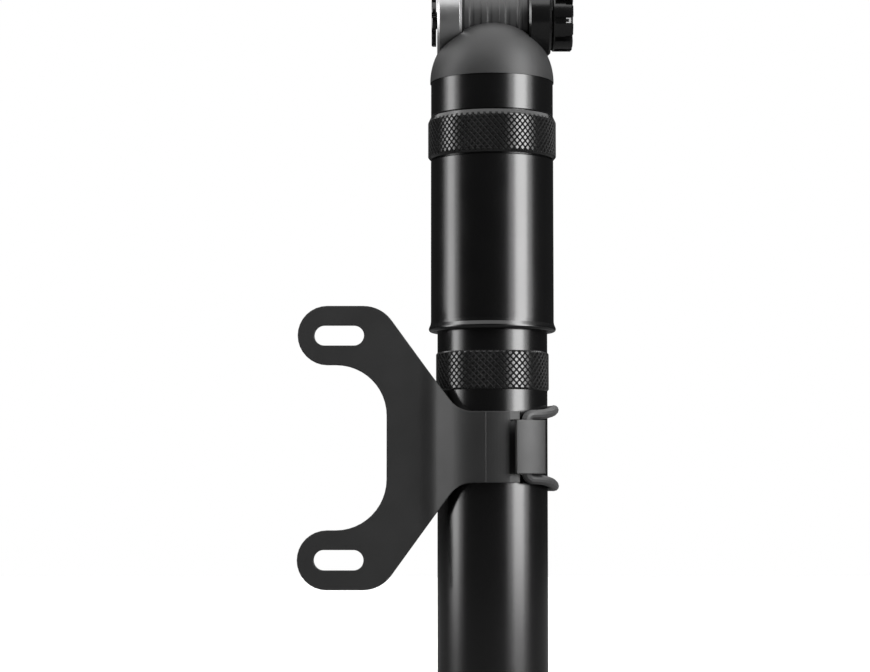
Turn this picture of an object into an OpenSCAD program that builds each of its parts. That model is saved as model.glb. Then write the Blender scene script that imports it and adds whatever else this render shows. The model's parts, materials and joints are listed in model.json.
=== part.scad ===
// Mini bicycle pump with a lever head, a turning lock collar and a clip-on frame bracket.
// Millimetres. +Z runs up the pump axis to the head, the front faces -Y, the valve side faces +X.
// The origin is the centre of the flat foot of the end cap.

/* [Handle] */
// Outer radius of the sliding handle tube
handle_r = 15.9; // [14:0.05:18]
// Wall of the handle tube
handle_wall = 1.4; // [0.8:0.05:3]
// Height of the end cap flange under the tube
cap_flange_h = 4; // [2:0.1:8]
// Overlap of the handle tube inside the sleeve at rest
handle_overlap = 43.25; // [30:0.05:43.5]
// Working stroke of the handle
stroke = 105; // [60:1:110]
// Depth of the end cap spigot in the tube
cap_spigot_h = 7.8; // [5:0.1:12]
// Chamfer round the foot
foot_chamfer = 1; // [0.2:0.1:2]
// Section radius of the end cap o-ring
cap_o_ring_r = 1; // [0.6:0.05:1.3]

/* [Grip ring] */
// Lower edge of the knurled grip ring
grip_z = 85.05; // [80:0.05:90]
// Height of the grip ring
grip_h = 11.15; // [6:0.05:14]
// How far the grip ring stands out of the tube
grip_proud = 0.4; // [0.2:0.05:1]
// Depth of the seat cut in the tube for the ring
grip_seat = 0.6; // [0.2:0.05:0.8]
// Chamfer of both ring edges
grip_chamfer = 0.5; // [0.1:0.05:0.9]

/* [Air cylinder] */
// Wall of the guide bush between tube and air cylinder
bush_wall = 1.5; // [1:0.05:3]
// Wall of the air cylinder
cylinder_wall = 1.2; // [0.8:0.05:2]
// Space between the end cap and the air cylinder
cap_gap = 0.8; // [0.5:0.1:3]
// Height of the plug above the air cylinder
plug_h = 7; // [5:0.1:10]
// Height of the rod gland in the cylinder's lower end
gland_h = 9.4; // [5:0.1:14]
// Height of the guide bush in the handle tube's mouth
bush_h = 8; // [4:0.1:14]

/* [Piston] */
// Radius of the piston rod
rod_r = 4; // [2.5:0.05:6]
// Radius of the rod's threaded end
rod_stud_r = 2.5; // [1.5:0.05:4]
// Space between the piston nut and the plug
piston_gap = 2; // [1:0.1:6]
// Height of the piston
piston_h = 8; // [5:0.1:10]
// Section radius of the piston seal
piston_seal_r = 1.5; // [0.8:0.05:2]
// Height of the piston nut
nut_h = 3; // [2:0.1:4]
// Width across the piston nut's flats
nut_flats = 8; // [6:0.1:12]

/* [Outer sleeve] */
// Wall of the sleeve outside the collar spigot
sleeve_wall = 0.8; // [0.6:0.05:1.5]
// Gap between the sleeve and the handle
sleeve_gap = 0.7; // [0.4:0.05:1.2]
// Lower edge of the sleeve's rolled lip
sleeve_z = 102.15; // [98:0.05:106]
// Length of the sleeve
sleeve_l = 49.95; // [40:0.05:60]
// How far the rolled lip stands out
lip_proud = 0.6; // [0.3:0.05:1]
// Height of the flare above the lip
lip_h = 3.05; // [1:0.05:5]

/* [Lock ring] */
// Thickness of the lock ring
lock_wall = 1.6; // [1.2:0.05:3]
// Chamfer height at the lock ring's lower edge
lock_chamfer_low = 0.8; // [0.2:0.1:2]
// Chamfer height at the lock ring's top edge
lock_chamfer_top = 1.5; // [0.2:0.1:3]
// Chamfer width at both edges
lock_chamfer_w = 0.7; // [0.2:0.1:1]
// End play above and below the lock ring
lock_play = 0.3; // [0.3:0.05:0.5]

/* [Collar and dome] */
// Height from the sleeve to the collar, taken by the lock ring
lock_h = 12.8; // [8:0.05:16]
// Height of the smooth collar
collar_h = 10; // [6:0.1:14]
// How far the collar stands out of its spigot
collar_proud = 0.75; // [0.5:0.05:1.5]
// Wall of the spigot that carries the lock ring
spigot_wall = 0.75; // [0.5:0.05:1.5]
// Depth of the spigot in the sleeve
spigot_l = 6.1; // [3:0.1:6.5]
// Width of the shoulder the plug seats on
collar_step = 2.25; // [1:0.05:4]
// How far the dome stands out of the collar
dome_proud = 0.25; // [0:0.05:1]
// Wall of the dome
dome_wall = 2.1; // [1.5:0.1:3]
// Height of the straight foot under the dome
dome_foot_h = 0.3; // [0.1:0.1:1]
// Level of the flat ceiling inside the dome, above its foot
dome_ceiling_h = 6.1; // [4:0.1:7]

/* [Head] */
// Height of the head axis above the dome's foot
head_rise = 18.4; // [16:0.1:22]
// Radius of the ribbed head body
chuck_r = 8.3; // [7:0.05:9]
// Left end of the ribbed body
chuck_x0 = -8.5; // [-10:0.05:-7]
// Right end of the ribbed body
chuck_x1 = 10.5; // [8:0.05:12]
// Bore radius along the head
chuck_bore_r = 5.05; // [4:0.05:5.5]
// Radius of the head's neck
neck_r = 7; // [6:0.1:8]
// Height of the neck flange
neck_flange_h = 3; // [2:0.1:4]
// Depth of the body's narrow grooves
rib_groove = 0.5; // [0.2:0.05:1]
// Height of the step between two grooves
rib_step = 0.35; // [0.1:0.05:0.6]
// Pitch of the ribs
rib_pitch = 5.2; // [3:0.1:7]
// First groove
rib_x = -6; // [-7:0.1:-5]
// Radius of the left spigot that carries the lever
lever_spigot_r = 7; // [6:0.05:7.5]
// Length of the left spigot
lever_spigot_l = 4; // [2:0.1:6]
// Radius of the right spigot that carries the end ring
ring_spigot_r = 7.5; // [7:0.05:8]
// Length of the right spigot
ring_spigot_l = 3; // [2:0.1:4]

/* [End ring and valve cap] */
// Radius of the smooth end ring
end_ring_r = 10.2; // [9:0.05:11]
// Gap between the ribbed body and the end ring
end_ring_gap = 0.1; // [0.05:0.05:0.5]
// Width of the end ring
end_ring_w = 6.5; // [4:0.05:9]
// Edge rounding of the end ring
end_ring_chamfer = 0.6; // [0.1:0.05:1.5]
// Radius of the castellated valve cap
valve_cap_r = 9; // [8:0.05:10]
// Width of the valve cap
valve_cap_w = 6; // [4:0.05:9]
// Radius of the valve port
port_r = 4.1; // [3.2:0.05:4.4]
// Number of slots round the cap
cap_slots = 10; // [6:1:16]
// Turn of the first slot
cap_slot_turn = 11; // [0:1:35]
// Width of the slots
cap_slot_w = 2; // [1:0.1:3]
// Depth of the slots along the side
cap_slot_depth = 1.2; // [0.4:0.1:2]
// Length of the deep notches in the rim
cap_notch_l = 2.1; // [1:0.1:3]
// Depth of the notches
cap_notch_depth = 2.8; // [1:0.1:3.5]
// Radius of the cap's inner spigot
cap_spigot_r = 6.5; // [5.5:0.05:7]
// Length of the cap's inner spigot
cap_spigot_l = 3.5; // [2:0.1:4]
// Inner radius of the rubber valve grommet
grommet_bore_r = 3; // [2.4:0.05:3.5]
// Length of the grommet
grommet_l = 7.2; // [4:0.1:9]

/* [Lever] */
// Radius of the lever's round boss
lever_r = 10; // [9:0.05:10.2]
// Width of the boss
lever_w = 7.15; // [5:0.05:9]
// Chamfer at both faces of the boss
lever_chamfer = 0.7; // [0.1:0.05:1.5]
// Thickness of the lever arm
lever_arm_t = 2.5; // [1.5:0.1:4]
// Space between the dome and the back of the arm
lever_arm_gap = 0.4; // [0.3:0.05:2]
// Height above the dome's foot where the arm turns straight down
lever_bend = 4.8; // [1:0.1:8]
// Height of the arm's tip above the lock ring
lever_tip = 1.6; // [0.6:0.1:6]
// Where the arm leaves the boss, behind the head axis
lever_root_y = 8.6; // [7:0.1:9.5]
// Thumb rest at the arm's tip, thickness
lever_pad_t = 3.4; // [2:0.1:5]
// Swing of the lever in degrees
lever_swing = 90; // [60:1:100]
// Travel of the plunger the lever pushes
plunger_travel = 2; // [1:0.1:2.4]
// How far the plunger stands out of the ribbed body
plunger_out = 3.5; // [2:0.1:3.9]
// Right end of the plunger
plunger_x1 = 3.6; // [2:0.1:4]
// Radius of the plunger's narrow nose
plunger_nose_r = 3.6; // [2:0.1:4.5]
// Left end of the nose
plunger_nose_x = -2.5; // [-5:0.1:0]

/* [Side knob] */
// Radius of the lobed side knob
knob_r = 7.6; // [6:0.05:9]
// Thickness of the knob
knob_w = 1.35; // [1:0.05:3]
// Number of lobes
knob_lobes = 10; // [6:1:16]
// Radius of the gaps between the lobes
knob_gap_r = 0.85; // [0.4:0.05:1.5]
// Radius of the knob's spindle
knob_spindle_r = 2.5; // [1.5:0.05:4]

/* [Check valve] */
// Radius of the valve chamber
chamber_r = 3.6; // [2.5:0.05:5]
// Height of the valve chamber above its seat
chamber_h = 11.5; // [8:0.1:14]
// Depth of the valve seat below the plug's top
seat_depth = 2.5; // [1:0.1:4]
// Radius of the air passages
passage_r = 1.5; // [0.8:0.05:2]
// Radius of the poppet
poppet_r = 2.9; // [2:0.05:3.4]
// Height of the poppet's head
poppet_h = 1.8; // [1:0.1:3]
// Wire radius of the check spring
spring_wire_r = 0.3; // [0.2:0.05:0.5]
// Coil radius of the check spring
spring_coil_r = 2.4; // [2:0.05:3]
// Turns of the check spring
spring_turns = 6; // [3:1:9]
// Section radius of the plug's o-ring
plug_o_ring_r = 1; // [0.6:0.05:1.3]
// Depth of the plug in the air cylinder
plug_depth = 5.4; // [3:0.1:8]

/* [Frame bracket] */
// Middle height of the bracket
bracket_mid = 68.7; // [64:0.1:74]
// Distance between the two bottle-boss slots
slot_spacing = 64; // [60:0.5:70]
// Width of each slot
slot_w = 5.8; // [5:0.1:7]
// Length of each slot, end to end
slot_l = 14.2; // [8:0.1:16]
// Middle of the slots left of the pump axis
slot_x = 44; // [40:0.1:50]
// Radius of the bracket's ears
ear_r = 8.45; // [7:0.05:10]
// Centre of the ears' round ends
ear_x = 47.4; // [44:0.1:52]
// Outer face of the flat plate in front of the axis
plate_y = 9; // [7:0.1:12]
// Thickness of the plate and band
plate_t = 2.3; // [1.8:0.1:4]
// Height of the band round the handle
band_h = 20.1; // [14:0.1:26]
// Slope of the shoulder between plate and band
shoulder_angle = 40; // [30:1:55]
// Concave bend radius of the shoulder
shoulder_r = 8; // [4:0.1:12]
// Where the plate's outer edge starts to turn in
edge_turn_x = 37.1; // [34:0.1:42]
// Radius of that turn
edge_turn_r = 10; // [6:0.1:14]
// Angle of the diagonal edge
edge_angle = 54; // [40:1:65]
// Radius of the blend from the diagonal to the band
edge_blend_r = 8; // [4:0.1:12]
// Inner edge of the spine
spine_x = 30.4; // [27:0.1:34]
// Inner corner radius of the C
inner_corner_r = 14.5; // [8:0.1:18]
// Start angle of the strap groove on the band
groove_angle = 14; // [8:0.5:16]
// Thickness of the band under the strap
groove_floor_t = 1.4; // [1:0.05:2]
// Free edge of the strap hook, as an angle
hook_angle = 16.6; // [16:0.1:19]
// Start of the hook's root, as an angle
hook_root_angle = 34; // [33:0.5:37]
// End of the hook's root, as an angle
hook_end_angle = 45; // [42:0.5:52]
// Height of the hook
hook_h = 15.1; // [10:0.1:18]
// Thickness of the hook's tab
hook_t = 1.4; // [1:0.1:2.5]

/* [Retaining strap] */
// Cord radius of the rubber strap
cord_r = 1.4; // [0.8:0.05:1.45]
// Angle of the strap's run under the hook
strap_hook_angle = 28.5; // [27:0.1:29]
// Angle of the strap's run through the lug
strap_lug_angle = 280; // [270:1:290]
// Distance of the strap's run through the lug from the handle
strap_lug_out = 3.9; // [3.4:0.1:6]
// Half height of the strap in the lug
strap_lug_h = 5.6; // [5:0.1:8]
// Half height of the strap at the side of the handle
strap_side_h = 11; // [9:0.1:14]
// End of the full height of the band, as an angle
band_end_angle = 23.3; // [20:0.1:24]
// Angle of the mould line on the band
mould_line_angle = 7.5; // [5:0.5:10]
// Width of the mould line
mould_line_w = 0.16; // [0.1:0.02:0.3]
// Height of the mould line
mould_line_h = 0.07; // [0.04:0.01:0.15]
// Half height of the lug
lug_h = 4; // [2:0.1:5]

/* [Clearances] */
// Gap between pieces seated in each other
seat_gap = 0.05; // [0.02:0.01:0.1]
// Radial gap of the running fits
run_gap = 0.06; // [0.02:0.01:0.1]
// Gap between separate moving pieces
free_gap = 0.35; // [0.3:0.01:0.5]

/* [Hidden] */
handle_bore_r = handle_r - handle_wall;
cap_top = cap_flange_h + cap_spigot_h;
grip_r = handle_r + grip_proud;
cylinder_r = handle_bore_r - bush_wall;
cylinder_bore_r = cylinder_r - cylinder_wall;
cylinder_z = cap_top + cap_gap;
spigot_bore_r = handle_r + free_gap;
spigot_r = spigot_bore_r + spigot_wall;
sleeve_r = spigot_r + sleeve_wall;
sleeve_bore_r = handle_r + sleeve_gap;
sleeve_top = sleeve_z + sleeve_l;
lip_r = sleeve_r + lip_proud;
handle_top = sleeve_z + handle_overlap;
lock_r = spigot_r + lock_wall;
collar_z = sleeve_top + lock_h;
collar_r = spigot_r + collar_proud;
spigot_z = sleeve_top - spigot_l;
collar_bore_r = spigot_bore_r - collar_step;
collar_top = collar_z + collar_h;
dome_r = collar_r + dome_proud;
dome_z = collar_top + dome_foot_h;
head_z = dome_z + head_rise;
neck_flange_r = collar_bore_r - seat_gap;
plug_flange_top = collar_z + 0.1;
cylinder_top = plug_flange_top - plug_h;
plug_z = cylinder_top - plug_depth;
piston_z = plug_z - piston_gap - nut_h - 0.6 - piston_h;
seat_z = plug_flange_top - seat_depth;
chamber_top = seat_z + chamber_h;
end_ring_x0 = chuck_x1 + end_ring_gap;
end_ring_x1 = end_ring_x0 + end_ring_w;
valve_cap_x0 = end_ring_x1 + lock_play;
valve_cap_x1 = valve_cap_x0 + valve_cap_w;
lever_x1 = chuck_x0 - lock_play;
lever_x0 = lever_x1 - lever_w;
knob_x1 = lever_x0 - lock_play;
knob_x0 = knob_x1 - knob_w;
lever_arm_y = dome_r - lever_arm_gap;
lever_bend_z = dome_z + lever_bend;
lever_tip_z = collar_z + lever_tip;
plunger_x0 = chuck_x0 - plunger_out;
grommet_x0 = plunger_x1 + plunger_travel + 0.4;
band_r = handle_r + free_gap - 0.05;
groove_floor_r = band_r + groove_floor_t;
strap_lug_r = handle_r + strap_lug_out;
chuck_groove_r = chuck_r - rib_groove;
chuck_low_r = chuck_r - rib_step;
gland_top = cylinder_z + gland_h;
piston_top = piston_z + piston_h;
rod_top = piston_top + nut_h + 0.6;
band_out_r = band_r + plate_t;
band_half = band_h / 2;
slot_half = slot_spacing / 2;
ear_out = slot_half + ear_r;
ear_in = slot_half - ear_r;
cord_gap = 0.1;
hook_in_r = groove_floor_r + cord_gap + 2 * cord_r + cord_gap;
hook_out_r = hook_in_r + hook_t;
strap_r0 = groove_floor_r + cord_gap + cord_r;
strap_r1 = handle_r + free_gap + cord_r + 0.1;
hook_half = hook_h / 2;
strap_edge_h = hook_half + cord_r + 0.1;
cap_spigot_x0 = valve_cap_x0 - cap_spigot_l;
lever_wall_x = chuck_x0 - lever_spigot_l - 0.4;
lug_x = strap_lug_r * sin(strap_lug_angle);
lug_y = -strap_lug_r * cos(strap_lug_angle);
fine = 96;
$fn = 72;

// Piece to draw, or all

// ---- shared shapes ----
module tube_z(r_out, r_in, z0, z1) {
    translate([0, 0, z0])
    difference() {
        cylinder(r = r_out, h = z1 - z0, $fn = fine);
        translate([0, 0, -1])
        cylinder(r = r_in, h = z1 - z0 + 2, $fn = fine);
    }
}

// A solid turned about the head axis: x0 to x1 along +X
module rod_x(r, x0, x1) {
    translate([x0, 0, head_z])
    rotate([0, 90, 0])
    cylinder(r = r, h = x1 - x0, $fn = fine);
}

// Turns a profile of [x, radius] points about the head axis
module turned_x(points) {
    translate([0, 0, head_z])
    rotate([0, 90, 0])
    rotate_extrude($fn = fine)
    polygon([for (p = points) [p[1], p[0]]]);
}

module o_ring(centre_r, r, z) {
    translate([0, 0, z])
    rotate_extrude($fn = fine)
    translate([centre_r, 0])
    circle(r = r, $fn = 24);
}

function arc(c, r, a0, a1, n) = [for (i = [0:n]) [c[0] + r * cos(a0 + (a1 - a0) * i / n),
                                                   c[1] + r * sin(a0 + (a1 - a0) * i / n)]];

// ---- handle ----
module handle_tube() {
    color("#141416")
    difference() {
        tube_z(handle_r, handle_bore_r, cap_flange_h, handle_top);
        tube_z(handle_r + 1, handle_r - grip_seat, grip_z, grip_z + grip_h);
    }
}

module grip_ring() {
    seat_r = handle_r - grip_seat + seat_gap;
    color("#1b1b1d")
    rotate_extrude($fn = fine)
    polygon([[seat_r, grip_z], [grip_r - grip_chamfer, grip_z], [grip_r, grip_z + grip_chamfer],
             [grip_r, grip_z + grip_h - grip_chamfer], [grip_r - grip_chamfer, grip_z + grip_h],
             [seat_r, grip_z + grip_h]]);
}

module mouth_bush() {
    color("#2c2c30")
    tube_z(handle_bore_r - seat_gap, cylinder_r + run_gap, handle_top - bush_h, handle_top - 0.4);
}

module end_cap() {
    groove_z = cap_flange_h + cap_spigot_h / 2;
    groove_r = handle_bore_r - seat_gap - 2 * cap_o_ring_r;
    color("#17171a")
    difference() {
        rotate_extrude($fn = fine)
        polygon([[0, 0], [handle_r - foot_chamfer, 0], [handle_r, foot_chamfer], [handle_r, cap_flange_h],
                 [handle_bore_r - seat_gap, cap_flange_h],
                 [handle_bore_r - seat_gap, groove_z - cap_o_ring_r - 0.1],
                 [groove_r, groove_z - cap_o_ring_r - 0.1], [groove_r, groove_z + cap_o_ring_r + 0.1],
                 [handle_bore_r - seat_gap, groove_z + cap_o_ring_r + 0.1],
                 [handle_bore_r - seat_gap, cap_top], [0, cap_top]]);
        translate([0, 0, cap_flange_h - 1])
        cylinder(r = rod_r + 0.02, h = cap_spigot_h + 2, $fn = fine);
    }
}

module end_cap_o_ring() {
    color("#0d0d0d")
    o_ring(handle_bore_r - seat_gap - cap_o_ring_r + 0.02, cap_o_ring_r, cap_flange_h + cap_spigot_h / 2);
}

module piston_rod() {
    color("#b9bcc0")
    union() {
        translate([0, 0, cap_flange_h - 1])
        cylinder(r = rod_r, h = piston_z - cap_flange_h + 1, $fn = fine);
        translate([0, 0, piston_z - 1])
        cylinder(r = rod_stud_r, h = rod_top - piston_z + 1, $fn = fine);
    }
}

module piston() {
    mid = piston_z + piston_h / 2;
    groove_r = cylinder_bore_r - run_gap - 2 * piston_seal_r;
    color("#d8d6cf")
    difference() {
        translate([0, 0, piston_z])
        cylinder(r = cylinder_bore_r - free_gap, h = piston_h, $fn = fine);
        tube_z(cylinder_r, groove_r - 0.02, mid - piston_seal_r - 0.1, mid + piston_seal_r + 0.1);
        translate([0, 0, piston_z - 1])
        cylinder(r = rod_stud_r + 0.02, h = piston_h + 2, $fn = fine);
    }
}

module piston_seal() {
    color("#101010")
    o_ring(cylinder_bore_r - run_gap - piston_seal_r, piston_seal_r, piston_z + piston_h / 2);
}

module piston_nut() {
    color("#c9cbce")
    difference() {
        translate([0, 0, piston_top])
        cylinder(d = nut_flats / cos(30), h = nut_h, $fn = 6);
        translate([0, 0, piston_top - 1])
        cylinder(r = rod_stud_r + 0.02, h = nut_h + 2, $fn = fine);
    }
}

// ---- air cylinder and outer sleeve ----
module air_cylinder() {
    color("#c6c9cc")
    tube_z(cylinder_r, cylinder_bore_r, cylinder_z, cylinder_top);
}

module cylinder_gland() {
    color("#303034")
    tube_z(cylinder_bore_r - seat_gap, rod_r + run_gap, cylinder_z, gland_top);
}

module cylinder_plug() {
    groove_z = cylinder_top + 3;
    groove_r = spigot_bore_r - seat_gap - 2 * plug_o_ring_r;
    color("#2a2a2d")
    difference() {
        union() {
            translate([0, 0, plug_z])
            cylinder(r = cylinder_bore_r - seat_gap, h = cylinder_top - plug_z + 1, $fn = fine);
            translate([0, 0, cylinder_top])
            cylinder(r = spigot_bore_r - seat_gap, h = plug_flange_top - cylinder_top, $fn = fine);
        }
        tube_z(spigot_r, groove_r - 0.02, groove_z - plug_o_ring_r - 0.1, groove_z + plug_o_ring_r + 0.1);
        translate([0, 0, plug_z - 1])
        cylinder(r = passage_r, h = 20, $fn = fine);
        translate([0, 0, seat_z])
        cylinder(r = chamber_r, h = 10, $fn = fine);
    }
}

module plug_o_ring() {
    color("#0d0d0d")
    o_ring(spigot_bore_r - seat_gap - plug_o_ring_r, plug_o_ring_r, cylinder_top + 3);
}

module outer_sleeve() {
    lip_c = lip_r - 0.9;
    color("#111113")
    rotate_extrude($fn = fine)
    polygon(concat(
        [[sleeve_bore_r, sleeve_z + 0.6], [sleeve_bore_r + 0.4, sleeve_z + 0.1]],
        arc([lip_c, sleeve_z + 0.9], 0.9, -90, 20, 8),
        [[sleeve_r + 0.12, sleeve_z + lip_h * 0.72], [sleeve_r, sleeve_z + lip_h], [sleeve_r, sleeve_top - 0.3],
         [sleeve_r - 0.3, sleeve_top], [spigot_r + seat_gap, sleeve_top], [spigot_r + seat_gap, spigot_z],
         [sleeve_bore_r, spigot_z]]));
}

module lock_ring() {
    z0 = sleeve_top + lock_play;
    z1 = collar_z - lock_play;
    color("#19191b")
    rotate_extrude($fn = fine)
    polygon([[spigot_r + run_gap, z0], [lock_r - lock_chamfer_w, z0], [lock_r, z0 + lock_chamfer_low],
             [lock_r, z1 - lock_chamfer_top], [lock_r - lock_chamfer_w, z1], [spigot_r + run_gap, z1]]);
}

module collar() {
    color("#141416")
    rotate_extrude($fn = fine)
    polygon([[spigot_bore_r, spigot_z], [spigot_r, spigot_z], [spigot_r, collar_z], [collar_r - 0.2, collar_z],
             [collar_r, collar_z + 0.2], [collar_r, collar_top], [collar_bore_r, collar_top],
             [collar_bore_r, plug_flange_top], [spigot_bore_r, plug_flange_top]]);
}

module dome_shell() {
    inner_r = dome_r - dome_wall;
    color("#4a4a4c")
    difference() {
        union() {
            translate([0, 0, collar_top])
            cylinder(r = dome_r, h = dome_foot_h + 0.001, $fn = fine);
            translate([0, 0, dome_z])
            difference() {
                sphere(r = dome_r, $fn = fine);
                translate([-50, -50, -100])
                cube([100, 100, 100]);
            }
        }
        intersection() {
            translate([0, 0, dome_z])
            sphere(r = inner_r, $fn = fine);
            translate([-50, -50, collar_top - 50])
            cube([100, 100, 50 + dome_ceiling_h]);
        }
        translate([0, 0, collar_top - 1])
        cylinder(r = neck_r + seat_gap, h = 30, $fn = fine);
        rod_x(chuck_r + seat_gap, -30, 30);
        rod_x(lever_r + free_gap, -30, lever_x1 + 0.25);
        rod_x(end_ring_r + seat_gap, end_ring_x0 - 0.1, 30);
    }
}

// ---- head ----
module chuck_body() {
    g = rib_groove;
    color("#3c3c3e")
    difference() {
        union() {
            turned_x(concat(
                [[chuck_x0 - lever_spigot_l, 0], [chuck_x0 - lever_spigot_l, lever_spigot_r],
                 [chuck_x0, lever_spigot_r], [chuck_x0, chuck_r - 0.5], [chuck_x0 + 0.5, chuck_r]],
                [for (k = [0:2]) for (p = [[-0.8, chuck_r], [-0.4, chuck_groove_r], [0.3, chuck_groove_r],
                                           [0.8, chuck_low_r], [2.6, chuck_low_r], [2.95, chuck_r]])
                    [rib_x + k * rib_pitch + p[0], p[1]]],
                [[chuck_x1 - 2.7, chuck_r], [chuck_x1 - 2.4, chuck_groove_r], [chuck_x1 - 1.9, chuck_groove_r],
                 [chuck_x1 - 1.7, chuck_low_r], [chuck_x1 - 0.3, chuck_low_r], [chuck_x1, chuck_low_r - 0.3],
                 [chuck_x1, ring_spigot_r], [chuck_x1 + ring_spigot_l, ring_spigot_r],
                 [chuck_x1 + ring_spigot_l, 0]]));
            translate([0, 0, plug_flange_top])
            cylinder(r = neck_r, h = head_z - plug_flange_top, $fn = fine);
            translate([0, 0, plug_flange_top])
            cylinder(r = neck_flange_r, h = neck_flange_h, $fn = fine);
        }
        rod_x(chuck_bore_r, -30, 30);
        translate([0, 0, plug_flange_top - 1])
        cylinder(r = chamber_r, h = chamber_top - plug_flange_top + 1, $fn = fine);
        translate([0, 0, plug_flange_top])
        cylinder(r = passage_r, h = head_z - plug_flange_top, $fn = fine);
    }
}

module head_end_ring() {
    c = end_ring_chamfer;
    step_x = chuck_x1 + ring_spigot_l + 0.1;
    color("#121214")
    turned_x([[end_ring_x0, ring_spigot_r + seat_gap], [end_ring_x0, end_ring_r - c], [end_ring_x0 + c, end_ring_r],
              [end_ring_x1 - c, end_ring_r], [end_ring_x1, end_ring_r - c], [end_ring_x1, cap_spigot_r + run_gap],
              [step_x, cap_spigot_r + run_gap], [step_x, ring_spigot_r + seat_gap]]);
}

module valve_grommet() {
    color("#1c1c1c")
    difference() {
        rod_x(chuck_bore_r - seat_gap, grommet_x0, grommet_x0 + grommet_l);
        rod_x(grommet_bore_r, grommet_x0 - 1, grommet_x0 + grommet_l + 1);
    }
}

module valve_cap() {
    color("#161618")
    difference() {
        union() {
            rod_x(cap_spigot_r, cap_spigot_x0, valve_cap_x0 + 1);
            turned_x([[valve_cap_x0, 0], [valve_cap_x0, valve_cap_r - 0.4], [valve_cap_x0 + 0.4, valve_cap_r],
                      [valve_cap_x1 - 0.5, valve_cap_r], [valve_cap_x1, valve_cap_r - 0.5], [valve_cap_x1, 0]]);
        }
        rod_x(port_r, cap_spigot_x0 - 1, valve_cap_x1 + 1);
        rod_x(valve_cap_r - cap_notch_depth, valve_cap_x1 - cap_notch_l, valve_cap_x1 + 1);
        for (i = [0:cap_slots - 1])
            translate([0, 0, head_z])
            rotate([cap_slot_turn + i * 360 / cap_slots, 0, 0]) {
                translate([valve_cap_x0 + 0.8, -valve_cap_r - 2, -cap_slot_w / 2])
                cube([10, 2 + cap_slot_depth, cap_slot_w]);
                translate([valve_cap_x1 - cap_notch_l, -valve_cap_r - 2, -cap_slot_w / 2])
                cube([10, 2 + cap_notch_depth, cap_slot_w]);
            }
    }
}

module cam_lever() {
    c = lever_chamfer;
    t = lever_arm_t / 2;
    w = lever_x1 - lever_x0;
    pad = lever_pad_t / 2;
    color("#a7a9ab")
    difference() {
        union() {
            turned_x([[lever_x0, 0], [lever_x0, lever_r - c], [lever_x0 + c, lever_r], [lever_x1 - c, lever_r],
                      [lever_x1, lever_r - c], [lever_x1, 0]]);
            translate([lever_x0, 0, 0])
            rotate([90, 0, 90])
            linear_extrude(height = w)
            polygon([[lever_root_y - 1.6, head_z - 1], [lever_root_y + 1.1, head_z + 2],
                     [lever_arm_y + t, lever_bend_z + 0.6], [lever_arm_y + t, lever_tip_z + 6],
                     [lever_arm_y - t + lever_pad_t, lever_tip_z + 4], [lever_arm_y - t + lever_pad_t, lever_tip_z + 1],
                     [lever_arm_y - t + lever_pad_t - 1, lever_tip_z], [lever_arm_y - t + 0.4, lever_tip_z],
                     [lever_arm_y - t, lever_tip_z + 0.4], [lever_arm_y - t, lever_bend_z - 0.4]]);
        }
        rod_x(lever_spigot_r + run_gap, lever_wall_x, 10);
        rod_x(knob_spindle_r + run_gap, -30, 0);
    }
}

module plunger() {
    color("#8f9194")
    union() {
        rod_x(chuck_bore_r - run_gap, plunger_x0, plunger_nose_x);
        rod_x(plunger_nose_r, plunger_nose_x - 0.5, plunger_x1);
    }
}

module side_knob() {
    color("#18181a")
    difference() {
        union() {
            turned_x([[knob_x0, 0], [knob_x0, knob_r - 0.3], [knob_x0 + 0.3, knob_r], [knob_x1, knob_r], [knob_x1, 0]]);
            rod_x(knob_spindle_r, knob_x0 + 0.5, lever_wall_x - 0.1);
        }
        for (i = [0:knob_lobes - 1])
            translate([0, 0, head_z])
            rotate([i * 360 / knob_lobes, 0, 0])
            translate([knob_x0 - 1, -knob_r, 0])
            rotate([0, 90, 0])
            cylinder(r = knob_gap_r, h = knob_x1 - knob_x0 + 1.4, $fn = 24);
    }
}

// ---- check valve ----
module check_poppet() {
    color("#d9d5c8")
    union() {
        translate([0, 0, seat_z + lock_play])
        cylinder(r = poppet_r, h = poppet_h, $fn = fine);
        translate([0, 0, seat_z + lock_play])
        cylinder(r = poppet_r * 0.55, h = poppet_h + 2.4, $fn = fine);
    }
}

module check_spring() {
    z0 = seat_z + lock_play + poppet_h + spring_wire_r + 0.05;
    z1 = chamber_top - spring_wire_r - 0.05;
    n = 24 * spring_turns;
    m = 8;
    ring = [for (i = [0:n]) for (j = [0:m - 1])
        let (a = 360 * spring_turns * i / n, b = 360 * j / m, r = spring_coil_r + spring_wire_r * cos(b))
        [r * cos(a), r * sin(a), z0 + (z1 - z0) * i / n + spring_wire_r * sin(b)]];
    color("#c4c6c8")
    polyhedron(ring, concat(
        [[for (j = [0:m - 1]) j]],
        [for (i = [0:n - 1]) for (j = [0:m - 1])
            [i * m + j, (i + 1) * m + j, (i + 1) * m + (j + 1) % m, i * m + (j + 1) % m]],
        [[for (j = [m - 1:-1:0]) n * m + j]]), convexity = 10);
}

// ---- frame bracket ----
// Point on a circle about the pump axis, the angle counted from the front towards +X
function around(r, a) = [r * sin(a), -r * cos(a)];

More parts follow.
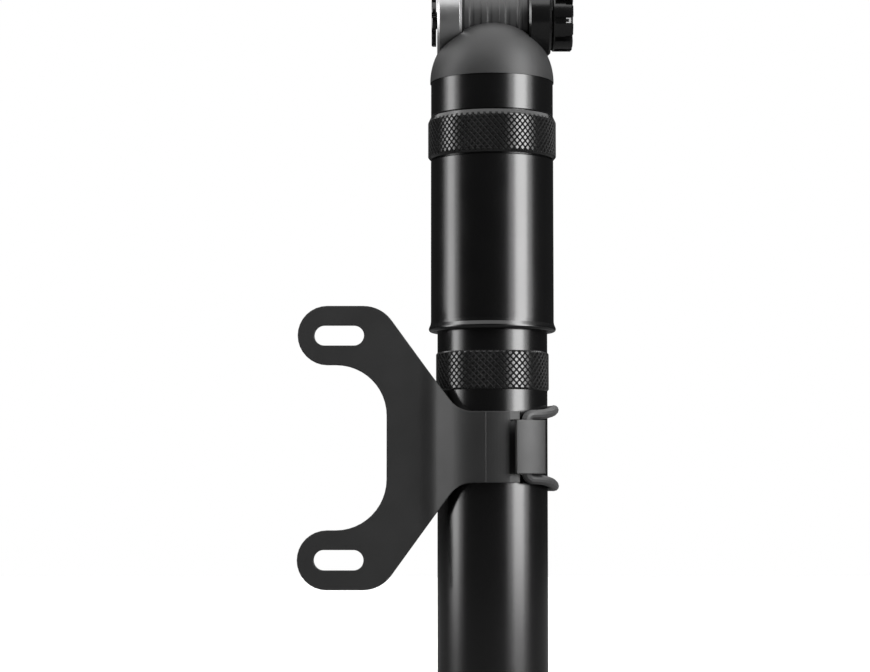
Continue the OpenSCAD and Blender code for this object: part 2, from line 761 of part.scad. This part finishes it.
// The front outline of one half, from the ear's inner edge round to the band, s = 1 up or -1 down
function half_edge(s) =
    let (c1 = [-edge_turn_x, ear_out - edge_turn_r],
         e1 = [c1[0] + edge_turn_r * sin(edge_angle), c1[1] + edge_turn_r * cos(edge_angle)],
         drop = edge_blend_r * (1 - cos(edge_angle)),
         run = (e1[1] - band_half - drop) / tan(edge_angle),
         e2 = [e1[0] + run, band_half + drop],
         c2 = [e2[0] + edge_blend_r * sin(edge_angle), e2[1] + edge_blend_r * cos(edge_angle)])
    [for (p = concat(
        arc([-spine_x - inner_corner_r, ear_in - inner_corner_r], inner_corner_r, 0, 90, 12),
        arc([-ear_x, slot_half], ear_r, 270, 90, 16),
        arc(c1, edge_turn_r, 90, 90 - edge_angle, 8),
        arc(c2, edge_blend_r, 270 - edge_angle, 270, 6))) [p[0], s * p[1]]];

module bracket_outline() {
    up = half_edge(1);
    down = half_edge(-1);
    polygon(concat(up, [[40, band_half], [40, -band_half]], [for (i = [len(down) - 1:-1:0]) down[i]]));
}

module bracket_profile() {
    a = shoulder_angle;
    cx = -(band_out_r + shoulder_r - (plate_y + shoulder_r) * cos(a)) / sin(a);
    c = [cx, -plate_y - shoulder_r];
    polygon(concat(
        [[-60, -plate_y]],
        arc(c, shoulder_r, 90, 90 - a, 8),
        [for (i = [0:20]) around(band_out_r, -a + (groove_angle + a) * i / 20)],
        [for (i = [0:12]) around(groove_floor_r, groove_angle + (hook_root_angle - groove_angle) * i / 12)],
        [for (i = [0:8]) around(hook_in_r, hook_root_angle + (hook_angle - hook_root_angle) * i / 8)],
        [for (i = [0:12]) around(hook_out_r, hook_angle + (hook_end_angle - 4 - hook_angle) * i / 12)],
        [around(hook_out_r - 1.2, hook_end_angle)],
        [for (i = [0:30]) around(band_r, hook_end_angle - (hook_end_angle + a) * i / 30)],
        arc(c, shoulder_r + plate_t, 90 - a, 90, 8),
        [[-60, plate_t - plate_y]]));
}

module frame_bracket() {
    color("#2b2b2d")
    difference() {
        union() {
            intersection() {
                translate([0, 0, bracket_mid - 60])
                linear_extrude(height = 120)
                bracket_profile();
                translate([0, 20, bracket_mid])
                rotate([90, 0, 0])
                linear_extrude(height = 60)
                bracket_outline();
            }
            for (s = [-1, 1])
                translate([0, 0, bracket_mid + s * (hook_half + band_half) / 2 - (band_half - hook_half) / 2])
                linear_extrude(height = band_half - hook_half)
                polygon(concat([for (i = [0:6]) around(band_out_r, groove_angle - 2 + (band_end_angle - groove_angle + 2) * i / 6)],
                               [for (i = [6:-1:0]) around(band_r + 0.5, groove_angle - 2 + (band_end_angle - groove_angle + 2) * i / 6)]));
            rotate([0, 0, -mould_line_angle])
            translate([-mould_line_w / 2, -band_out_r - mould_line_h, bracket_mid - band_half])
            cube([mould_line_w, plate_t / 2, band_h]);
            translate([lug_x - 2.7, -plate_y + plate_t - 0.6, bracket_mid - lug_h])
            cube([4.9, lug_y + 2 + plate_y - plate_t + 0.6, 2 * lug_h]);
        }
        for (s = [-1, 1]) {
            for (e = [-1, 1])
                translate([-slot_x + e * (slot_l - slot_w) / 2, 0, bracket_mid + s * slot_half])
                rotate([90, 0, 0])
                cylinder(d = slot_w, h = 40, $fn = fine);
            translate([-slot_x - (slot_l - slot_w) / 2, -20, bracket_mid + s * slot_half - slot_w / 2])
            cube([slot_l - slot_w, 40, slot_w]);
            translate([0, 0, bracket_mid + s * (hook_half + 10) - 10])
            linear_extrude(height = 20)
            polygon(concat([for (i = [0:6]) around(60, band_end_angle + i * 8)],
                           [around(5, band_end_angle + 48), around(5, band_end_angle)]));
            translate([0, 0, bracket_mid + s * (hook_half + 10) - 10])
            linear_extrude(height = 20)
            polygon(concat([for (i = [0:4]) around(40, groove_angle + i * 12)],
                           [for (i = [4:-1:0]) around(band_out_r, groove_angle + i * 12)]));
        }
        translate([lug_x, lug_y, bracket_mid - 10])
        cylinder(r = cord_r + 0.1, h = 20, $fn = 48);
    }
}

// ---- strap ----
function ease(t) = t * t * (3 - 2 * t);
function blend(t, a, b) = a + (b - a) * ease(min(1, max(0, t)));
function strap_radius(a) = a < 150 ? blend((a - 46) / 40, strap_r0, strap_r1)
                                   : blend((a - 244) / 34, strap_r1, strap_lug_r);
function strap_height(a) = a < 90 ? blend((a - 34) / 56, strap_edge_h, strap_side_h)
                                  : blend((a - 110) / 160, strap_side_h, strap_lug_h + 1.4);
// Upper strand from the hook to the lug, as [angle, height]
function strap_upper() = concat(
    [for (i = [0:5]) [strap_hook_angle + 5.7 * (1 - cos(i * 18)), strap_edge_h - 1.9 * (1 - sin(i * 18))]],
    [for (i = [0:40]) let (a = strap_hook_angle + 7.5 + (strap_lug_angle - strap_hook_angle - 13.5) * i / 40) [a, strap_height(a)]],
    [for (i = [1:5]) [strap_lug_angle - 6 + 6 * sin(i * 18), strap_lug_h + 1.4 * cos(i * 18)]]);

module retaining_strap() {
    up = strap_upper();
    n_up = len(up);
    path = concat([for (p = up) [p[0], bracket_mid + p[1]]],
                  [for (i = [1:3]) [strap_lug_angle, bracket_mid + strap_lug_h * (1 - i / 2)]],
                  [for (i = [n_up - 2:-1:0]) [up[i][0], bracket_mid - up[i][1]]],
                  [for (i = [1:4]) [strap_hook_angle, bracket_mid + (strap_edge_h - 1.9) * (i * 2 / 5 - 1)]]);
    n = len(path);
    m = 12;
    pos = [for (p = path) let (r = strap_radius(p[0])) [r * sin(p[0]), -r * cos(p[0]), p[1]]];
    pts = [for (i = [0:n - 1])
        let (d = pos[(i + 1) % n] - pos[(i + n - 1) % n],
             t = d / norm(d),
             o0 = [sin(path[i][0]), -cos(path[i][0]), 0],
             o1 = o0 - (o0 * t) * t,
             o = o1 / norm(o1),
             b = cross(t, o))
        for (j = [0:m - 1]) pos[i] + cord_r * (cos(360 * j / m) * o + sin(360 * j / m) * b)];
    color("#161616")
    polyhedron(pts, [for (i = [0:n - 1]) for (j = [0:m - 1])
        [i * m + j, ((i + 1) % n) * m + j, ((i + 1) % n) * m + (j + 1) % m, i * m + (j + 1) % m]], convexity = 10);
}

handle_tube();
grip_ring();
mouth_bush();
end_cap();
end_cap_o_ring();
piston_rod();
piston();
piston_seal();
piston_nut();
air_cylinder();
cylinder_gland();
cylinder_plug();
plug_o_ring();
outer_sleeve();
lock_ring();
collar();
dome_shell();
chuck_body();
head_end_ring();
valve_grommet();
valve_cap();
cam_lever();
plunger();
side_knob();
check_poppet();
check_spring();
frame_bracket();
retaining_strap();
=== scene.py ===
import bpy
import json
import math
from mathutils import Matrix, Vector


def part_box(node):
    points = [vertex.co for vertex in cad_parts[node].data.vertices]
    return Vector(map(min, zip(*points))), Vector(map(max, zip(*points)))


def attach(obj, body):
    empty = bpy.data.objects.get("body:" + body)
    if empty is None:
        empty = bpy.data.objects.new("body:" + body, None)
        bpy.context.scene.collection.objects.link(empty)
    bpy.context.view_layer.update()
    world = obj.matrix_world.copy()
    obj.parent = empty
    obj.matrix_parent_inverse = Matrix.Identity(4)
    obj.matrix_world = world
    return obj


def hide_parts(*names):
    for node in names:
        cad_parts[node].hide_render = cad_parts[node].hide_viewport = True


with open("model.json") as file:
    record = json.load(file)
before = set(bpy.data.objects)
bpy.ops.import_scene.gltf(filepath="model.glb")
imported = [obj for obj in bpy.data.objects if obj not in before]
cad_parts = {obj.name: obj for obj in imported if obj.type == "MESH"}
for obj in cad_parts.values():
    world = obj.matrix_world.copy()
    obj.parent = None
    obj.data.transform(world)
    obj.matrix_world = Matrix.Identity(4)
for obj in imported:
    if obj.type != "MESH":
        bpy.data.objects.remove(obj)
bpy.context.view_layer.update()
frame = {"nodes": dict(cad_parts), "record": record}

MM = 0.001

# Surfaces: how fine each noise is, and how deep the bump can be
COLOUR_DETAIL = 6
ROUGH_DETAIL = 4
BUMP_DETAIL = 3
ROUGH_NOISE_RATIO = 2.3
RAMP_START = 0.3
RAMP_END = 0.7
BUMP_GAIN = 10
BUMP_DISTANCE = 0.05 * MM
BEVEL_SAMPLES = 4
LEAST_ROUGH = 0.02

# Knurl: mesh columns to each groove, and the depth from which a point counts as cut
KNURL_STEPS = 8
KNURL_CUT = 1e-6

# Floor: its colour to the camera, and to every other ray
FLOOR_SIZE = 1.5
FLOOR_AT = (0, 0.1, -0.2 * MM)
FLOOR_ROUGH = 0.9
FLOOR_SPECULAR = 0.1
FLOOR_TO_CAMERA = (0.92, 0.92, 0.92, 1)
FLOOR_TO_REST = (0.1, 0.1, 0.1, 1)

# Softboxes: the side ones stand upright round the object, centred at one height
SIDE_Z = 0.28
SIDE_HEIGHT = 1.7
RIGHT_ANGLE = 54
LEFT_ANGLE = -84
STRIP_DISTANCE = 0.9
WIDE_DISTANCE = 1.0
TOP_AT = (0, 0.3, 1.3)
TOP_TARGET = (0, 0.3, 0)
TOP_SIZE = 3.0
TOP_RADIANCE = 1.9

# World: its strength to the camera, and to every other ray
WORLD_TO_CAMERA = 1.0
WORLD_TO_REST = 0.03

# Camera
CAMERA_AT = (-16.6 * MM, -652 * MM, 56 * MM)
CAMERA_TILT = 93.96
CAMERA_LENS = 93.35
CAMERA_SENSOR = 36
CAMERA_CLIP_START = 0.01


# ---------------------------------------------------------------- materials
def noise_factor(tree, vector, scale, detail):
    n = tree.nodes.new("ShaderNodeTexNoise")
    n.inputs["Scale"].default_value = scale
    n.inputs["Detail"].default_value = detail
    tree.links.new(vector, n.inputs["Vector"])
    return n.outputs["Fac"]


def material(name, base, rough, metal=0.0, spec=0.5, sheen=0.0, noise=60.0, vary=0.12, rough_vary=0.06,
             bump=0.02, bump_scale=900.0, edge=0.0, stretch=(1, 1, 1)):
    """A surface with slight noise in its colour, roughness and bump. edge is its corners' radius."""
    m = bpy.data.materials.new(name)
    m.use_nodes = True
    tree = m.node_tree
    shader = tree.nodes["Principled BSDF"]
    shader.inputs["Metallic"].default_value = metal
    shader.inputs["Roughness"].default_value = rough
    shader.inputs["Specular IOR Level"].default_value = spec
    if sheen:
        shader.inputs["Sheen Weight"].default_value = sheen

    coords = tree.nodes.new("ShaderNodeTexCoord")
    mapping = tree.nodes.new("ShaderNodeMapping")
    mapping.inputs["Scale"].default_value = stretch
    tree.links.new(coords.outputs["Object"], mapping.inputs["Vector"])
    vector = mapping.outputs["Vector"]

    ramp = tree.nodes.new("ShaderNodeValToRGB")
    ramp.color_ramp.elements[0].position = RAMP_START
    ramp.color_ramp.elements[1].position = RAMP_END
    ramp.color_ramp.elements[0].color = (*[c * (1 - vary) for c in base], 1)
    ramp.color_ramp.elements[1].color = (*[min(1, c * (1 + vary)) for c in base], 1)
    tree.links.new(noise_factor(tree, vector, noise, COLOUR_DETAIL), ramp.inputs["Fac"])
    tree.links.new(ramp.outputs["Color"], shader.inputs["Base Color"])

    spread = tree.nodes.new("ShaderNodeMapRange")
    spread.inputs["To Min"].default_value = max(LEAST_ROUGH, rough - rough_vary)
    spread.inputs["To Max"].default_value = min(1, rough + rough_vary)
    rough_noise = noise_factor(tree, vector, noise * ROUGH_NOISE_RATIO, ROUGH_DETAIL)
    tree.links.new(rough_noise, spread.inputs["Value"])
    tree.links.new(spread.outputs["Result"], shader.inputs["Roughness"])

    relief = tree.nodes.new("ShaderNodeBump")
    relief.inputs["Strength"].default_value = min(1.0, bump * BUMP_GAIN)
    relief.inputs["Distance"].default_value = BUMP_DISTANCE
    tree.links.new(noise_factor(tree, vector, bump_scale, BUMP_DETAIL), relief.inputs["Height"])
    if edge:
        bevel = tree.nodes.new("ShaderNodeBevel")
        bevel.inputs["Radius"].default_value = edge
        bevel.samples = BEVEL_SAMPLES
        tree.links.new(bevel.outputs["Normal"], relief.inputs["Normal"])
    tree.links.new(relief.outputs["Normal"], shader.inputs["Normal"])
    return m


MATS = {
    "gloss_black": material("gloss_black", (0.0022, 0.0022, 0.0023), 0.22, bump=0.004, rough_vary=0.03,
                            noise=45, spec=0.6),
    "knurled_black": material("knurled_black", (0.003, 0.003, 0.0031), 0.2, bump=0.004,
                              rough_vary=0.04, spec=0.6),
    "knurl_groove": material("knurl_groove", (0.004, 0.004, 0.0041), 0.55, bump=0.01,
                             rough_vary=0.08, spec=0.25),
    "dome_grey": material("dome_grey", (0.021, 0.021, 0.0212), 0.5, bump=0.03, bump_scale=1600, spec=0.4,
                          rough_vary=0.05, vary=0.08),
    "ribbed_grey": material("ribbed_grey", (0.024, 0.024, 0.0242), 0.42, bump=0.02, bump_scale=1500,
                            edge=0.00012),
    "silver": material("silver", (0.36, 0.36, 0.362), 0.36, metal=1.0, bump=0.03, bump_scale=2600,
                       edge=0.00015, noise=120, vary=0.08),
    "bare_aluminium": material("bare_aluminium", (0.6, 0.6, 0.6), 0.3, metal=1.0, bump=0.01,
                               stretch=(1, 1, 0.1)),
    "steel": material("steel", (0.5, 0.5, 0.5), 0.25, metal=1.0, bump=0.01, stretch=(1, 1, 0.1)),
    "black_plastic": material("black_plastic", (0.02, 0.02, 0.02), 0.45, bump=0.02, edge=0.00015),
    "bracket_black": material("bracket_black", (0.013, 0.013, 0.0131), 0.45, bump=0.03, bump_scale=1800,
                              spec=0.45, edge=0.0004, vary=0.1),
    "natural_plastic": material("natural_plastic", (0.68, 0.66, 0.6), 0.4, bump=0.01),
    "rubber": material("rubber", (0.03, 0.03, 0.0303), 0.5, bump=0.04, bump_scale=1200, sheen=0.05,
                       vary=0.15),
}

SLOT = {s["node"]: s["material_slot"] for s in frame["record"]["subparts"]}
for name, piece in frame["nodes"].items():
    piece.data.materials.clear()
    piece.data.materials.append(MATS.get(SLOT.get(name, ""), MATS["black_plastic"]))


# ---------------------------------------------------------------- knurled rings, real geometry
def knurled_ring(node, body, starts, period, depth, low, top, width, tip=0.25):
    """A ring of the CAD node's own size with a crossed knurl cut in it.

    starts is how many grooves there are round the ring each way, and period is their spacing along it.
    low and top are the heights of its two chamfers, and width is how far those go in. tip is the share
    of the way from a groove to the middle of a diamond over which the side rises.
    """
    lo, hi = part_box(node)
    r_out = max(hi.x, hi.y, -lo.x, -lo.y)
    r_in = min(math.hypot(v.co.x, v.co.y) for v in frame["nodes"][node].data.vertices)
    z0 = lo.z
    z1 = hi.z
    mid = (z0 + z1) / 2
    cols = starts * KNURL_STEPS
    step = period / KNURL_STEPS
    first = math.floor((z0 - mid) / step) + 1
    last = math.ceil((z1 - mid) / step) - 1
    heights = [z0] + [mid + k * step for k in range(first, last + 1)] + [z1]

    def uncut(z):
        inside = min(1.0, (z - z0) / low, (z1 - z) / top)
        return r_out - width * (1 - inside)

    def plateau(c, z):
        a = c / KNURL_STEPS
        b = (z - mid) / period
        u = (a + b) % 1.0
        v = (a - b) % 1.0
        return min(1.0, min(1 - abs(2 * u - 1), 1 - abs(2 * v - 1)) / tip)

    def ring(radii, z):
        turns = [2 * math.pi * c / cols for c in range(cols)]
        return [(r * math.cos(t), r * math.sin(t), z) for r, t in zip(radii, turns)]

    verts = []
    cut = []
    for z in heights:
        radii = [min(r_out - depth * (1 - plateau(c, z)), uncut(z)) for c in range(cols)]
        cut += [r < min(r_out, uncut(z)) - KNURL_CUT for r in radii]
        verts += ring(radii, z)
    inner = len(verts)
    for z in (z0, z1):
        verts += ring([r_in] * cols, z)

    # the outer wall: each square is split the way that lets a groove follow its diagonal
    faces = []
    for j in range(len(heights) - 1):
        for c in range(cols):
            d = (c + 1) % cols
            a0, b0 = j * cols + c, j * cols + d
            a1, b1 = a0 + cols, b0 + cols
            if (c - (first - 1 + j)) % 2 == 0:
                faces += [(a0, b0, b1), (a0, b1, a1)]
            else:
                faces += [(a0, b0, a1), (b0, b1, a1)]
    # the two ends and the inner wall
    outer_top = (len(heights) - 1) * cols
    inner_top = inner + cols
    for c in range(cols):
        d = (c + 1) % cols
        faces.append((d, c, inner + c, inner + d))
        faces.append((outer_top + c, outer_top + d, inner_top + d, inner_top + c))
        faces.append((inner + d, inner + c, inner_top + c, inner_top + d))

    mesh = bpy.data.meshes.new(node + "_knurl")
    mesh.from_pydata(verts, [], faces)
    mesh.update()
    piece = bpy.data.objects.new(node + "_knurl", mesh)
    bpy.context.scene.collection.objects.link(piece)
    mesh.materials.append(MATS["knurled_black"])
    mesh.materials.append(MATS["knurl_groove"])
    for p in mesh.polygons:
        if any(v < inner and cut[v] for v in p.vertices):
            p.material_index = 1
    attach(piece, body)
    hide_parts(node)


knurled_ring("lock_ring", "lock_ring", starts=68, period=1.9 * MM, depth=0.22 * MM,
             low=0.8 * MM, top=1.5 * MM, width=0.7 * MM)
knurled_ring("grip_ring", "handle", starts=54, period=1.9 * MM, depth=0.2 * MM,
             low=0.5 * MM, top=0.5 * MM, width=0.4 * MM)


# ---------------------------------------------------------------- floor
def socket(sockets, name):
    """The colour socket of that name, because a Mix node has one for each data type."""
    return [s for s in sockets if s.type == "RGBA" and s.name == name][0]


def make_floor():
    """A pale floor, grey to every ray but the camera's, so that it doesn't light the black tubes."""
    bpy.ops.mesh.primitive_plane_add(size=FLOOR_SIZE, location=FLOOR_AT)
    floor = bpy.context.object
    floor.name = "floor"
    m = bpy.data.materials.new("floor")
    m.use_nodes = True
    tree = m.node_tree
    shader = tree.nodes["Principled BSDF"]
    shader.inputs["Roughness"].default_value = FLOOR_ROUGH
    shader.inputs["Specular IOR Level"].default_value = FLOOR_SPECULAR
    colour = tree.nodes.new("ShaderNodeMix")
    colour.data_type = "RGBA"
    socket(colour.inputs, "A").default_value = FLOOR_TO_REST
    socket(colour.inputs, "B").default_value = FLOOR_TO_CAMERA
    path = tree.nodes.new("ShaderNodeLightPath")
    tree.links.new(path.outputs["Is Camera Ray"], colour.inputs[0])
    tree.links.new(socket(colour.outputs, "Result"), shader.inputs["Base Color"])
    floor.data.materials.append(m)


make_floor()


# ---------------------------------------------------------------- lights
def softbox(name, at, target, width, height, radiance):
    lamp = bpy.data.lights.new(name, "AREA")
    lamp.shape = "RECTANGLE"
    lamp.size = width
    lamp.size_y = height
    lamp.energy = radiance * math.pi * width * height
    holder = bpy.data.objects.new(name, lamp)
    bpy.context.scene.collection.objects.link(holder)
    holder.location = at
    aim = Vector(target) - Vector(at)
    holder.rotation_euler = aim.to_track_quat("-Z", "Y").to_euler()


def side_softbox(name, angle, distance, width, radiance):
    """An upright softbox facing the object's axis. Angle 0 is the camera's side, and 90 is the right."""
    a = math.radians(angle)
    at = (distance * math.sin(a), -distance * math.cos(a), SIDE_Z)
    softbox(name, at, (0, 0, SIDE_Z), width, SIDE_HEIGHT, radiance)


side_softbox("strip_right", RIGHT_ANGLE, STRIP_DISTANCE, width=0.40, radiance=9.5)
side_softbox("wide_right", RIGHT_ANGLE, WIDE_DISTANCE, width=0.9, radiance=3.0)
side_softbox("strip_left", LEFT_ANGLE, STRIP_DISTANCE, width=0.28, radiance=4.6)
side_softbox("wide_left", LEFT_ANGLE, WIDE_DISTANCE, width=0.66, radiance=2.0)
softbox("top", TOP_AT, TOP_TARGET, TOP_SIZE, TOP_SIZE, TOP_RADIANCE)


def background(tree, strength):
    b = tree.nodes.new("ShaderNodeBackground")
    b.inputs["Color"].default_value = (1, 1, 1, 1)
    b.inputs["Strength"].default_value = strength
    return b.outputs["Background"]


def make_world():
    world = bpy.data.worlds.new("studio")
    bpy.context.scene.world = world
    world.use_nodes = True
    tree = world.node_tree
    tree.nodes.clear()
    out = tree.nodes.new("ShaderNodeOutputWorld")
    mix = tree.nodes.new("ShaderNodeMixShader")
    path = tree.nodes.new("ShaderNodeLightPath")
    tree.links.new(path.outputs["Is Camera Ray"], mix.inputs["Fac"])
    tree.links.new(background(tree, WORLD_TO_REST), mix.inputs[1])
    tree.links.new(background(tree, WORLD_TO_CAMERA), mix.inputs[2])
    tree.links.new(mix.outputs["Shader"], out.inputs["Surface"])


make_world()


# ---------------------------------------------------------------- camera
def make_camera():
    lens = bpy.data.cameras.new("camera")
    lens.sensor_width = CAMERA_SENSOR
    lens.lens = CAMERA_LENS
    lens.clip_start = CAMERA_CLIP_START
    camera = bpy.data.objects.new("camera", lens)
    bpy.context.scene.collection.objects.link(camera)
    camera.location = CAMERA_AT
    camera.rotation_euler = (math.radians(CAMERA_TILT), 0, 0)
    bpy.context.scene.camera = camera


make_camera()
bpy.context.scene.view_settings.view_transform = "Standard"
